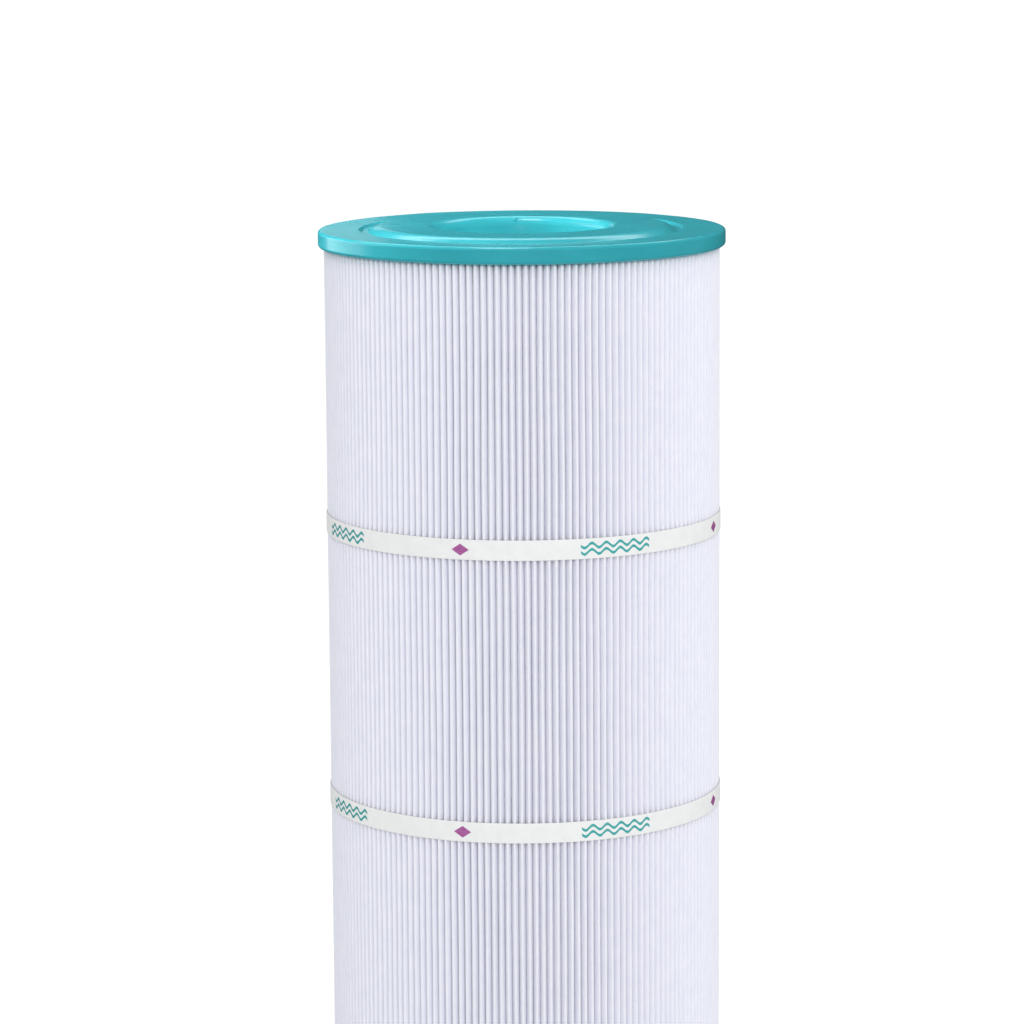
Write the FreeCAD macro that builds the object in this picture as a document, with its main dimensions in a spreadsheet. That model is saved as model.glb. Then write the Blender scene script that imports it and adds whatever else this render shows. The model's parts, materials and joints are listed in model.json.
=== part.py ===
"""Pleated pool filter cartridge: a parametric FreeCAD document.

A sheet of polyester fabric is folded into pleats round a moulded core cage. Two end caps of cast
urethane hold the ends of the fabric and of the core, and three bands keep the pleat tips apart.
The cartridge stands on its lower cap. +Z runs along its axis, and the origin is the centre of the
face it stands on. The front is -Y, and the fabric's side seam is at the back. Millimetres.
"""

import FreeCAD, Part
import math
import os

import Sketcher
from FreeCAD import Placement, Rotation, Vector

DIMENSIONS = [
    # whole cartridge
    ("overall_length", 503.2, "face to face, over both seat rings"),
    # end caps, measured from the flat outer face of the cap
    ("cap_radius", 88.9, "7 inch cap"),
    ("rim_height", 7.4, "depth of the outer wall"),
    ("seat_height", 1.5, "how far the seat ring stands out of the outer face"),
    ("seat_radius", 63.5, "where the seat ring's face would meet its slope"),
    ("step_run", 4.0, "radial run of the slope down into the groove"),
    ("groove_depth", 0.9, "below the outer face"),
    ("groove_floor", 2.0, "radial width of the groove's floor"),
    ("groove_run", 1.5, "radial run of the groove's outer wall"),
    ("bore_radius", 38.1, "3 inch opening that slides over a pipe stub"),
    ("bore_rounding", 4.0, "rounded mouth of the opening"),
    ("hub_depth", 12.0, "how deep the opening's wall reaches"),
    ("rim_rounding", 1.5, "both edges of the outer wall"),
    ("step_rounding", 8.0, "long rounding from the seat ring's face into its slope"),
    ("groove_rounding", 1.0, "foot of the slope and the groove's outer edge"),
    ("hub_rounding", 0.5, "the hub's foot"),
    ("potting_depth", 4.0, "how deep fabric and core are cast into the cap"),
    ("sprue_radius", 1.1, "trimmed pour mark on the opening's mouth"),
    ("sprue_inset", 1.4, "from the opening's wall out to the pour mark's centre"),
    ("sprue_sink", 1.6, "from the seat ring's face down to the pour mark's centre"),
    ("sprue_offset", 2.9, "from the plane of the side seam to the pour mark's centre"),
    # core cage, moulded in sections that plug into each other
    ("core_inner_radius", 39.3, "inside of the cage, against the cap's hub"),
    ("core_wall_radius", 41.7, "outside of the cage wall"),
    ("core_rib_radius", 42.6, "outside of the standing ribs"),
    ("core_rib_width", 1.4, "one standing rib"),
    ("core_rib_bite", 0.6, "how deep a rib's foot is buried in the wall"),
    ("core_rib_inset", 5.0, "from a section's ends to its ribs"),
    ("section_count", 4, "sections in the core"),
    ("lap_length", 5.0, "length of a plug joint"),
    ("lap_gap", 0.05, "clearance inside a plug joint"),
    ("window_columns", 16, "windows round the core"),
    ("window_rows", 8, "windows along a section"),
    ("window_width", 10.6, "one window, round the core"),
    ("window_height", 9.4, "one window, along the core"),
    ("window_pitch", 13.4, "from window to window along the core"),
    # pleated fabric
    ("pleat_count", 177, "folds round the cartridge"),
    ("pleat_tip_radius", 86.4, "outside of the folds"),
    ("pleat_root_radius", 42.9, "inside of the folds"),
    ("fabric_thickness", 0.5, "spunbonded polyester"),
    ("tip_bend_radius", 0.85, "outer face of the fold at a tip"),
    ("root_bend_radius", 0.67, "outer face of the fold at a root"),
    ("seam_angle", 90.0, "degrees from +X to the side seam"),
    ("bead_clearance", 1.0, "from the roots' bend to the seam's adhesive"),
    # bands round the pleat tips
    ("band_radius", 86.45, "inside of a band"),
    ("band_width", 8.8, "height of a band"),
    ("band_thickness", 0.35, "one layer of ribbon"),
    ("band_spacing", 122.0, "from band to band"),
    ("splice_glue", 0.12, "adhesive between the two layers of a splice"),
    ("splice_angle", 17.0, "degrees of overlap"),
    ("splice_ramp", 3.0, "degrees in which the ribbon climbs onto itself"),
    ("splice_direction", 124.0, "degrees from +X to the splice"),
    ("glue_margin", 0.8, "from the ribbon's long edges to the splice's adhesive"),
    ("glue_turn", 1.0, "degrees from the overlap's ends to the splice's adhesive"),
]

SHEET = "dimensions"

FABRIC_START = "(seat_height + rim_height - potting_depth)"
FABRIC_LENGTH = f"(overall_length - 2 * {FABRIC_START})"
SECTION_LENGTH = f"({FABRIC_LENGTH} / section_count)"

SAME_PLACE = 1e-4     # mm, nearer than this is the same edge
LEAST_CUT = 1.0       # mm3, a cut that removes less has failed
RAY_LENGTH = 100.0    # mm, longer than any radius that a ray has to cross


def make_sheet(doc):
    """The driving dimensions: one row each, with the value's cell named by its alias."""
    sheet = doc.addObject("Spreadsheet::Sheet", SHEET)
    for row, (alias, value, note) in enumerate(DIMENSIONS, start=1):
        sheet.set(f"A{row}", alias)
        sheet.set(f"B{row}", str(value))
        sheet.setAlias(f"B{row}", alias)
        sheet.set(f"C{row}", note)
    doc.recompute()
    return sheet


def bound(text):
    """An expression in which every alias is written with the sheet's name in front of it."""
    for alias, _, _ in sorted(DIMENSIONS, key=lambda entry: -len(entry[0])):
        text = text.replace(alias, f"<<{alias.upper()}>>")
    for alias, _, _ in DIMENSIONS:
        text = text.replace(f"<<{alias.upper()}>>", f"{SHEET}.{alias}")
    return text


def origin_feature(body, role):
    return next(f for f in body.Origin.OriginFeatures if f.Role == role)


def new_sketch(body, name, plane):
    sketch = body.newObject("Sketcher::SketchObject", name)
    sketch.AttachmentSupport = [(origin_feature(body, plane), "")]
    sketch.MapMode = "FlatFace"
    return sketch


def bind(sketch, constraint, name, expression):
    """Adds a named constraint and ties its value to the sheet."""
    index = sketch.addConstraint(constraint)
    sketch.renameConstraint(index, name)
    sketch.setExpression(f"Constraints.{name}", bound(expression))


def evaluate(owner, expression):
    return float(owner.evalExpression(bound(expression)))


def add_polygon(sketch, label, corners):
    """A closed outline of straight lines. Each corner is a pair of expressions from the origin."""
    places = [Vector(evaluate(sketch, x), evaluate(sketch, y), 0) for x, y in corners]
    first = sketch.GeometryCount
    count = len(corners)
    for here, there in zip(places, places[1:] + places[:1]):
        sketch.addGeometry(Part.LineSegment(here, there), False)
    for side in range(count):
        following = first + (side + 1) % count
        sketch.addConstraint(Sketcher.Constraint("Coincident", first + side, 2, following, 1))
    for corner, ((x, y), place) in enumerate(zip(corners, places)):
        line = first + corner
        across = Sketcher.Constraint("DistanceX", -1, 1, line, 1, place.x)
        bind(sketch, across, f"{label}_x{corner}", x)
        along = Sketcher.Constraint("DistanceY", -1, 1, line, 1, place.y)
        bind(sketch, along, f"{label}_y{corner}", y)


def round_edges(body, name, base, circles, radius):
    """Rounds the circular edges of base that lie at the given (radius, height) expressions."""
    wanted = [(evaluate(body, r), evaluate(body, z)) for r, z in circles]
    edges = []
    for number, edge in enumerate(base.Shape.Edges, start=1):
        if not isinstance(edge.Curve, Part.Circle):
            continue
        for r, z in wanted:
            if max(abs(edge.Curve.Radius - r), abs(edge.Curve.Center.z - z)) < SAME_PLACE:
                edges.append(f"Edge{number}")
    if len(edges) < len(wanted):
        raise RuntimeError(f"{name}: {len(edges)} edges found for {len(wanted)} circles")
    fillet = body.newObject("PartDesign::Fillet", name)
    fillet.Base = (base, edges)
    fillet.setExpression("Radius", bound(radius))
    body.Document.recompute()
    return fillet


def check_cut(before, feature):
    """A pocket that points away from the solid changes nothing and says nothing."""
    if feature.Shape.Volume > before - LEAST_CUT:
        raise RuntimeError(f"{feature.Name} removed no material")


# ---------------------------------------------------------------- end caps

def make_cap_body(doc, name):
    """One cap as cast, face up: its outer face at z = 0, and its seat ring standing above it."""
    body = doc.addObject("PartDesign::Body", name)
    profile = new_sketch(body, name + "_profile", "XZ_Plane")
    step_foot = "seat_radius + step_run"
    groove_edge = "seat_radius + step_run + groove_floor"
    add_polygon(profile, "cap", [
        ("bore_radius", "-hub_depth"),
        ("bore_radius", "seat_height"),
        ("seat_radius", "seat_height"),
        (step_foot, "-groove_depth"),
        (groove_edge, "-groove_depth"),
        (groove_edge + " + groove_run", "0"),
        ("cap_radius", "0"),
        ("cap_radius", "-rim_height"),
        ("core_wall_radius", "-rim_height"),
        ("core_wall_radius", "potting_depth - rim_height"),
        ("core_inner_radius", "potting_depth - rim_height"),
        ("core_inner_radius", "-hub_depth"),
    ])
    turned = body.newObject("PartDesign::Revolution", name + "_turned")
    turned.Profile = profile
    turned.ReferenceAxis = (origin_feature(body, "Z_Axis"), [""])
    turned.Angle = 360.0
    doc.recompute()
    mouth = round_edges(body, name + "_mouth", turned, [("bore_radius", "seat_height")], "bore_rounding")
    step = round_edges(body, name + "_step", mouth, [("seat_radius", "seat_height")], "step_rounding")
    foot = round_edges(body, name + "_foot", step, [
        (step_foot, "-groove_depth"),
        (groove_edge + " + groove_run", "0"),
    ], "groove_rounding")
    rim = round_edges(body, name + "_rim", foot, [
        ("cap_radius", "0"),
        ("cap_radius", "-rim_height"),
    ], "rim_rounding")
    round_edges(body, name + "_hub", rim, [("bore_radius", "-hub_depth")], "hub_rounding")
    sprue = body.newObject("PartDesign::AdditiveSphere", name + "_sprue")
    sprue.setExpression("Radius", bound("sprue_radius"))
    sprue.setExpression(".Placement.Base.x", bound("-sprue_offset"))
    sprue.setExpression(".Placement.Base.y", bound("bore_radius + sprue_inset"))
    sprue.setExpression(".Placement.Base.z", bound("seat_height - sprue_sink"))
    return body


def make_end_caps(doc, fabric):
    """The caps are cast round the ends of the fabric, so the fabric's folds are cut out of them.

    Both come out of one mould. The lower one is the upper one mirrored at half height, which the
    fabric allows because its folds run straight from end to end.
    """
    casting = make_cap_body(doc, "casting")
    casting.setExpression(".Placement.Base.z", bound("overall_length - seat_height"))
    upper = doc.addObject("Part::Cut", "upper_end_cap")
    upper.Base = casting
    upper.Tool = fabric
    lower = doc.addObject("Part::Mirroring", "lower_end_cap")
    lower.Source = upper
    lower.Normal = Vector(0, 0, 1)
    lower.setExpression(".Base.z", bound("overall_length / 2"))
    return [upper, lower]


# ---------------------------------------------------------------- core cage

def make_core_section(doc, label, place, socket, plug):
    """One moulded section of the cage. It may have a socket below and a plug above.

    One column of windows is cut straight through the tube, so half the columns make both sides.
    """
    body = doc.addObject("PartDesign::Body", label)
    profile = new_sketch(body, label + "_profile", "XZ_Plane")
    inner, wall = "core_inner_radius", "core_wall_radius"
    plug_wall = "(core_inner_radius + core_wall_radius - lap_gap) / 2"
    socket_wall = "(core_inner_radius + core_wall_radius + lap_gap) / 2"
    length = SECTION_LENGTH
    outline = [(wall, "0"), (wall, length)]
    if plug:
        tip = f"{length} + lap_length - lap_gap"
        outline += [(plug_wall, length), (plug_wall, tip), (inner, tip)]
    else:
        outline += [(inner, length)]
    if socket:
        outline += [(inner, "lap_length"), (socket_wall, "lap_length"), (socket_wall, "0")]
    else:
        outline += [(inner, "0")]
    add_polygon(profile, "wall", outline)
    tube = body.newObject("PartDesign::Revolution", label + "_tube")
    tube.Profile = profile
    tube.ReferenceAxis = (origin_feature(body, "Z_Axis"), [""])
    tube.Angle = 360.0
    doc.recompute()

    column = new_sketch(body, label + "_column", "XZ_Plane")
    first_row = f"({length} - (window_rows - 1) * window_pitch) / 2"
    for row in range(int(evaluate(body, "window_rows"))):
        middle_height = f"{first_row} + {row} * window_pitch"
        low, high = f"{middle_height} - window_height / 2", f"{middle_height} + window_height / 2"
        left, right = "-window_width / 2", "window_width / 2"
        add_polygon(column, f"window{row}", [(left, low), (right, low), (right, high), (left, high)])
    pocket = body.newObject("PartDesign::Pocket", label + "_windows")
    pocket.Profile = column
    pocket.Type = "ThroughAll"
    pocket.SideType = "Symmetric"
    doc.recompute()
    check_cut(tube.Shape.Volume, pocket)
    around = body.newObject("PartDesign::PolarPattern", label + "_windows_around")
    around.Originals = [pocket]
    around.Axis = (origin_feature(body, "Z_Axis"), [""])
    around.setExpression("Angle", bound("180 - 360 / window_columns"))
    around.setExpression("Occurrences", bound("window_columns / 2"))
    body.Tip = around
    doc.recompute()

    rib = body.newObject("PartDesign::AdditiveBox", label + "_rib")
    rib.setExpression("Length", bound("core_rib_radius - core_wall_radius + core_rib_bite"))
    rib.setExpression("Width", bound("core_rib_width"))
    rib.setExpression("Height", bound(f"{length} - 2 * core_rib_inset"))
    turn = Rotation(Vector(0, 0, 1), evaluate(body, "180 / window_columns"))
    buried = evaluate(body, "core_wall_radius - core_rib_bite")
    corner = Vector(buried, evaluate(body, "-core_rib_width / 2"), 0)
    rib.Placement = Placement(turn.multVec(corner), turn)
    rib.setExpression(".Placement.Base.z", bound("core_rib_inset"))
    doc.recompute()
    ribs = body.newObject("PartDesign::PolarPattern", label + "_ribs_around")
    ribs.Originals = [rib]
    ribs.Axis = (origin_feature(body, "Z_Axis"), [""])
    ribs.Angle = 360.0
    ribs.setExpression("Occurrences", bound("window_columns"))
    body.Tip = ribs
    body.setExpression(".Placement.Base.z", bound(f"{FABRIC_START} + {place} * {length}"))
    doc.recompute()
    return body


# ---------------------------------------------------------------- fabric

def polar(radius, angle):
    return Vector(radius * math.cos(angle), radius * math.sin(angle), 0)


def pleat_edges(size, tip_bend, root_bend):
    """One face of the folded sheet, from one end leg at the seam, all the way round, to the other.

    tip_bend and root_bend are the radii of this face at a tip and at a root. The seam is at angle 0.
    """
    count = int(size["pleat_count"])
    step = 2 * math.pi / count
    tip_centre = size["pleat_tip_radius"] - size["tip_bend_radius"]
    root_centre = size["pleat_root_radius"] + size["root_bend_radius"]
    a_tip = polar(tip_centre, 0)
    a_root = polar(root_centre, step / 2)
    towards = a_root - a_tip
    lean = math.asin((tip_bend + root_bend) / towards.Length)
    towards.normalize()
    sideways = Vector(-towards.y, towards.x, 0)
    if sideways.y < 0:
        sideways = -sideways
    normal = towards * math.sin(lean) + sideways * math.cos(lean)
    tip_touch = a_tip + normal * tip_bend
    root_touch = a_root - normal * root_bend

    def turned(point, angle):
        return Rotation(Vector(0, 0, 1), math.degrees(angle)).multVec(point)

    def mirrored(point):
        return Vector(point.x, -point.y, point.z)

    end_radius = size["pleat_tip_radius"] - size["tip_bend_radius"] / 2
    leg_side = root_centre * math.sin(step / 2) - root_bend
    start = Vector(end_radius, leg_side, 0)
    foot = Vector(a_root.x, leg_side, 0)
    edges = [Part.LineSegment(start, foot).toShape()]
    for fold in range(count):
        root_bottom = polar(root_centre - root_bend, (fold + 0.5) * step)
        root_in = turned(root_touch, fold * step) if fold else foot
        last = fold == count - 1
        root_out = mirrored(foot) if last else turned(mirrored(root_touch), (fold + 1) * step)
        edges.append(Part.Arc(root_in, root_bottom, root_out).toShape())
        if last:
            edges.append(Part.LineSegment(root_out, mirrored(start)).toShape())
            break
        here = (fold + 1) * step
        tip_in, tip_out = turned(mirrored(tip_touch), here), turned(tip_touch, here)
        edges.append(Part.LineSegment(root_out, tip_in).toShape())
        edges.append(Part.Arc(tip_in, polar(tip_centre + tip_bend, here), tip_out).toShape())
        edges.append(Part.LineSegment(tip_out, turned(root_touch, here)).toShape())
    return edges


def make_fabric(doc, size):
    """The pleated sheet as one open strip whose two end legs lie side by side at the seam."""
    thickness = size["fabric_thickness"]
    outer = pleat_edges(size, size["tip_bend_radius"], size["root_bend_radius"] - thickness)
    inner = pleat_edges(size, size["tip_bend_radius"] - thickness, size["root_bend_radius"])
    far_end = Part.LineSegment(outer[-1].Vertexes[-1].Point, inner[-1].Vertexes[-1].Point).toShape()
    near_end = Part.LineSegment(inner[0].Vertexes[0].Point, outer[0].Vertexes[0].Point).toShape()
    wire = Part.Wire(outer + [far_end] + inner[::-1] + [near_end])
    fabric = doc.addObject("Part::Feature", "pleated_fabric")
    fabric.Shape = Part.Face(wire).extrude(Vector(0, 0, evaluate(fabric, FABRIC_LENGTH)))
    lift = Vector(0, 0, evaluate(fabric, FABRIC_START))
    fabric.Placement = Placement(lift, Rotation(Vector(0, 0, 1), size["seam_angle"]))
    return fabric


def make_seam_bead(doc, size):
    """Adhesive that joins the sheet's two end legs."""
    step = 360.0 / size["pleat_count"]
    root_centre = "(pleat_root_radius + root_bend_radius)"
    bead = doc.addObject("Part::Box", "side_seam_adhesive")
    gap = f"2 * ({root_centre} * sin({step / 2} deg) - root_bend_radius)"
    bead.setExpression("Width", bound(gap))
    length = f"pleat_tip_radius - tip_bend_radius / 2 - {root_centre} - bead_clearance"
    bead.setExpression("Length", bound(length))
    bead.setExpression("Height", bound(f"{FABRIC_LENGTH} - 2 * potting_depth"))
    turn = Rotation(Vector(0, 0, 1), size["seam_angle"])
    corner = Vector(evaluate(bead, f"{root_centre} + bead_clearance"), -evaluate(bead, gap) / 2, 0)
    bead.Placement = Placement(turn.multVec(corner), turn)
    bead.setExpression(".Placement.Base.z", bound(f"{FABRIC_START} + potting_depth"))
    return bead


# ---------------------------------------------------------------- bands

def add_arc(sketch, name, radius, start, end):
    """An arc round the origin, its radius tied to the sheet. Angles are expressions in degrees."""
    r = evaluate(sketch, radius)
    a, b = (math.radians(evaluate(sketch, angle)) for angle in (start, end))
    circle = Part.Circle(Vector(0, 0, 0), Vector(0, 0, 1), r)
    index = sketch.addGeometry(Part.ArcOfCircle(circle, a, b), False)
    sketch.addConstraint(Sketcher.Constraint("Coincident", index, 3, -1, 1))
    bind(sketch, Sketcher.Constraint("Radius", index, r), name, radius)
    return index


def add_ray(sketch, name, angle):
    """A construction line from the origin at an angle, for arcs to end on."""
    a = math.radians(evaluate(sketch, angle))
    index = sketch.addGeometry(Part.LineSegment(Vector(0, 0, 0), polar(RAY_LENGTH, a)), True)
    sketch.addConstraint(Sketcher.Constraint("Coincident", index, 1, -1, 1))
    bind(sketch, Sketcher.Constraint("Angle", -1, 1, index, 1, a), name, f"({angle}) * 1 deg")
    sketch.addConstraint(Sketcher.Constraint("Distance", index, RAY_LENGTH))
    return index


def join(sketch, first, first_end, second, second_end):
    """A straight line from one end of a curve to one end of another."""
    a, b = sketch.getPoint(first, first_end), sketch.getPoint(second, second_end)
    line = sketch.addGeometry(Part.LineSegment(a, b), False)
    sketch.addConstraint(Sketcher.Constraint("Coincident", line, 1, first, first_end))
    sketch.addConstraint(Sketcher.Constraint("Coincident", line, 2, second, second_end))


def make_band(doc, label, height):
    """A ribbon that goes once round, climbs onto its own start and ends in a glued overlap."""
    body = doc.addObject("PartDesign::Body", label)
    sketch = new_sketch(body, label + "_path", "XY_Plane")
    climb = "360 - splice_ramp"
    layer = "band_radius + band_thickness"
    tail = f"{layer} + splice_glue"
    first_inner = add_arc(sketch, "first_inner", "band_radius", "0", climb)
    first_outer = add_arc(sketch, "first_outer", layer, "0", climb)
    tail_inner = add_arc(sketch, "tail_inner", tail, "0", "splice_angle")
    tail_outer = add_arc(sketch, "tail_outer", f"{tail} + band_thickness", "0", "splice_angle")
    ramp_ray = add_ray(sketch, "ramp_angle", climb + " - 360")
    tail_ray = add_ray(sketch, "tail_angle", "splice_angle")
    for inner, outer, end_ray in ((first_inner, first_outer, ramp_ray), (tail_inner, tail_outer, tail_ray)):
        for arc in (inner, outer):
            sketch.addConstraint(Sketcher.Constraint("PointOnObject", arc, 1, -1))
            sketch.addConstraint(Sketcher.Constraint("PointOnObject", arc, 2, end_ray))
    join(sketch, first_inner, 1, first_outer, 1)
    join(sketch, first_inner, 2, tail_inner, 1)
    join(sketch, first_outer, 2, tail_outer, 1)
    join(sketch, tail_inner, 2, tail_outer, 2)
    pad = body.newObject("PartDesign::Pad", label + "_ribbon")
    pad.Profile = sketch
    pad.setExpression("Length", bound("band_width"))
    turn = evaluate(body, "splice_direction")
    body.Placement = Placement(Vector(0, 0, 0), Rotation(Vector(0, 0, 1), turn))
    body.setExpression(".Placement.Base.z", bound(f"{height} - band_width / 2"))
    return body


def make_splice_glue(doc, label, height):
    """The film of adhesive inside a band's overlap, a little smaller than the overlap."""
    body = doc.addObject("PartDesign::Body", label)
    sketch = new_sketch(body, label + "_film", "XY_Plane")
    inner_radius = "band_radius + band_thickness"
    start, end = "glue_turn", "splice_angle - glue_turn"
    inner = add_arc(sketch, "inner", inner_radius, start, end)
    outer = add_arc(sketch, "outer", f"{inner_radius} + splice_glue", start, end)
    for end_number, (name, angle) in enumerate((("start_angle", start), ("end_angle", end)), start=1):
        ray = add_ray(sketch, name, angle)
        for arc in (inner, outer):
            sketch.addConstraint(Sketcher.Constraint("PointOnObject", arc, end_number, ray))
        join(sketch, inner, end_number, outer, end_number)
    pad = body.newObject("PartDesign::Pad", label + "_pad")
    pad.Profile = sketch
    pad.setExpression("Length", bound("band_width - 2 * glue_margin"))
    turn = evaluate(body, "splice_direction")
    body.Placement = Placement(Vector(0, 0, 0), Rotation(Vector(0, 0, 1), turn))
    body.setExpression(".Placement.Base.z", bound(f"{height} - band_width / 2 + glue_margin"))
    return body


# ---------------------------------------------------------------- whole cartridge

def build(doc):
    make_sheet(doc)
    size = {alias: float(value) for alias, value, _ in DIMENSIONS}
    fabric = make_fabric(doc, size)
    parts = [fabric, make_seam_bead(doc, size)] + make_end_caps(doc, fabric)
    names = ("core_section_1_bottom", "core_section_2", "core_section_3", "core_section_4_top")
    for place, name in enumerate(names):
        socket, plug = place > 0, place < len(names) - 1
        parts.append(make_core_section(doc, name, place, socket, plug))
    for name, steps in (("upper", 1), ("middle", 0), ("lower", -1)):
        height = f"overall_length / 2 + {steps} * band_spacing"
        parts.append(make_band(doc, name + "_band", height))
        parts.append(make_splice_glue(doc, name + "_band_adhesive", height))
    doc.recompute()
    return parts


def check_and_write(doc, parts):
    """Stops on any failed object or bad shape, then writes one STEP file for each part."""
    for item in doc.Objects:
        if "Invalid" in item.State or "Error" in item.State:
            raise RuntimeError(f"{item.Name} failed: {item.State}")
    for part in parts:
        shape = part.Shape
        if shape.isNull() or not shape.isValid() or len(shape.Solids) != 1:
            raise RuntimeError(f"{part.Label} is not one valid solid")
    os.makedirs("parts", exist_ok=True)
    for part in parts:
        part.Shape.exportStep(os.path.join("parts", part.Label + ".step"))
        print(f"{part.Label}: {part.Shape.Volume / 1000:.2f} cm3, {len(part.Shape.Faces)} faces")


document = FreeCAD.newDocument("filter_cartridge")
check_and_write(document, build(document))
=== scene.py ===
"""Looks of a pleated pool filter cartridge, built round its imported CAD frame.

Metres, in the frame's own axes: +Z up along the cartridge, the front at -Y, the fabric's side seam
at +Y. The caps, the fabric and the bands are modelled again here in finer meshes. The core and the
adhesive keep their CAD meshes and get materials.
"""

import json
import math

import bpy
import numpy as np
from mathutils import Matrix, Vector, noise


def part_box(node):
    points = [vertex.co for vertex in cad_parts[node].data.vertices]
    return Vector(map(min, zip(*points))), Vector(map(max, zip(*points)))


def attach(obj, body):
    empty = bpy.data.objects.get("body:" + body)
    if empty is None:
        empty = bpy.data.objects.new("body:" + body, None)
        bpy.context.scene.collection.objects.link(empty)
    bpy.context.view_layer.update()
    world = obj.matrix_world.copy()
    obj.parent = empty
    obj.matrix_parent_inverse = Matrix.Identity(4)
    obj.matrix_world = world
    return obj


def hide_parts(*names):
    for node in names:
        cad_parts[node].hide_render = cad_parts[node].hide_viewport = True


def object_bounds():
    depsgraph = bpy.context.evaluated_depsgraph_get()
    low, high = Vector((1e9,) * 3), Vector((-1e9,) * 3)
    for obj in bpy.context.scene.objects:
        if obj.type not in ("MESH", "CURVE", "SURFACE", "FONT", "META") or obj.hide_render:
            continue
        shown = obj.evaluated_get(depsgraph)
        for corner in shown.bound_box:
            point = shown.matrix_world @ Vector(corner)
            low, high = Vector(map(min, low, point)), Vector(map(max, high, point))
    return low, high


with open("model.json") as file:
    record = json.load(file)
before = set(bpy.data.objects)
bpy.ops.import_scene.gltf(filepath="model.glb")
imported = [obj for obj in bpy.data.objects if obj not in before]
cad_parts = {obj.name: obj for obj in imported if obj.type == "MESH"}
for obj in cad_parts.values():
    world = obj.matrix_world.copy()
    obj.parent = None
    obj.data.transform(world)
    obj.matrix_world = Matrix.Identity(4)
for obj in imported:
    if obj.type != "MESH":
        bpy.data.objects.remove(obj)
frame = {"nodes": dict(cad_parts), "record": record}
cad_low, cad_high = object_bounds()

MM = 0.001
TURN = 2 * math.pi
FRONT = math.radians(-90)

# ---------------------------------------------------------------- sizes of the caps

BORE_RADIUS = next(m["dims"]["r_mm"] for m in frame["record"]["mounts"] if m["name"] == "top_bore") * MM
CAP_RADIUS = 88.9 * MM
SEAT_HEIGHT = 1.5 * MM
SEAT_RADIUS = 63.5 * MM
STEP_FOOT = 67.5 * MM
GROOVE_DEPTH = 0.9 * MM
GROOVE_EDGE = 69.5 * MM
GROOVE_TOP = 71.0 * MM
RIM_HEIGHT = 7.4 * MM
HUB_DEPTH = 12.0 * MM
HUB_RADIUS = 39.3 * MM

OPENING_ROUND = 4.0 * MM
SEAT_ROUND = 8.0 * MM
STEP_ROUND = 1.0 * MM
GROOVE_ROUND = 0.4 * MM
RIM_ROUND = 1.5 * MM
HUB_INNER_ROUND = 0.5 * MM
HUB_OUTER_ROUND = 0.4 * MM
HUB_ROOT_ROUND = 0.2 * MM

CAP_SEGMENTS = 360
LONGEST_SIDE = 3.0 * MM

# The cast skin's wander: how far it goes, and how often it changes in a metre. The rim's side, which
# is RIM_SIDE wide, takes RIM_SHARE of it outwards.
SWELL_SIZE, SWELL_RATE = 0.07 * MM, 45
RIPPLE_SIZE, RIPPLE_RATE = 0.01 * MM, 160
RIM_SIDE = 2.0 * MM
RIM_SHARE = 0.6

SPRUE_RADIUS = 1.2 * MM
SPRUE_ACROSS = -2.9 * MM
SPRUE_SETBACK = 1.4 * MM
SPRUE_SINK = 0.1 * MM

# ---------------------------------------------------------------- sizes of the fabric

FOLDS = 177
FOLD_STEP = TURN / FOLDS
FABRIC_LOW, FABRIC_HIGH = (corner.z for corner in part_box("pleated_fabric"))
FREE_LOW, FREE_HIGH = cad_low.z + SEAT_HEIGHT + RIM_HEIGHT, cad_high.z - SEAT_HEIGHT - RIM_HEIGHT
FABRIC_THICKNESS = 0.5 * MM
TIP_RADIUS = 86.4 * MM
ROOT_RADIUS = 42.9 * MM
TIP_BEND = 0.60 * MM
ROOT_BEND = 0.67 * MM
SEAM = math.radians(90)

# The roots' bends: where their centres lie, and the radius of the sheet's middle line round them.
ROOT_CENTRE = ROOT_RADIUS + ROOT_BEND
ROOT_LINE = ROOT_BEND - FABRIC_THICKNESS / 2

# Neighbouring folds lie closest at TOUCH_RADIUS. Beside the seam they have SEAM_SLACK to lean over
# before they lie against the seam's two legs, whose middle lines are SEAM_LEG from the seam.
TOUCH_RADIUS = TIP_RADIUS - 2.9 * MM
SEAM_LEG = ROOT_CENTRE * math.sin(FOLD_STEP / 2) - ROOT_LINE
SEAM_SLACK = TOUCH_RADIUS * FOLD_STEP / 2 - SEAM_LEG - FABRIC_THICKNESS / 2

OWN_LEAN = 0.10 * MM
SLOW_LEAN = 0.30 * MM
QUICK_LEAN = 0.16 * MM
ALWAYS_INWARD = 0.02 * MM
BAY_INWARD = 0.12 * MM
BEND_CHANGE = 0.10
USUAL_CLEARANCE = 0.04 * MM

# The mesh has BAY_STEPS rows between two bands and one across a band. The top bay has one more, so
# that the coarse columns, which have one row in FINE_PER_COARSE, end where the fine ones do.
BAY_STEPS = 9
FINE_PER_COARSE = 4

# Steps in the bends. The water side shows its tips, and the core side its roots.
WATER_SIDE_STEPS = {"tip_steps": 6, "root_steps": 2}
CORE_SIDE_STEPS = {"tip_steps": 2, "root_steps": 4}

# ---------------------------------------------------------------- sizes of the bands and their print

BAND_RADIUS = 86.45 * MM
BAND_THICKNESS = 0.35 * MM
BAND_NAMES = ("lower_band", "middle_band", "upper_band")
BAND_SPANS = [(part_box(name)[0].z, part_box(name)[1].z) for name in BAND_NAMES]
BAND_STEPS_PER_FOLD = 6
BAND_SAG = 0.015 * MM

# How the ribbon thins to its long edges: distance from the edge, share of the thickness missing.
BAND_EDGE = ((0.05 * MM, 0.4), (0.25 * MM, 0.06), (1.5 * MM, 0))

SPLICE = math.radians(124)
SPLICE_OVERLAP = math.radians(17)
SPLICE_RAMP = math.radians(3)
SPLICE_GLUE = 0.12 * MM
SPLICE_STEPS = 40

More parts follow.
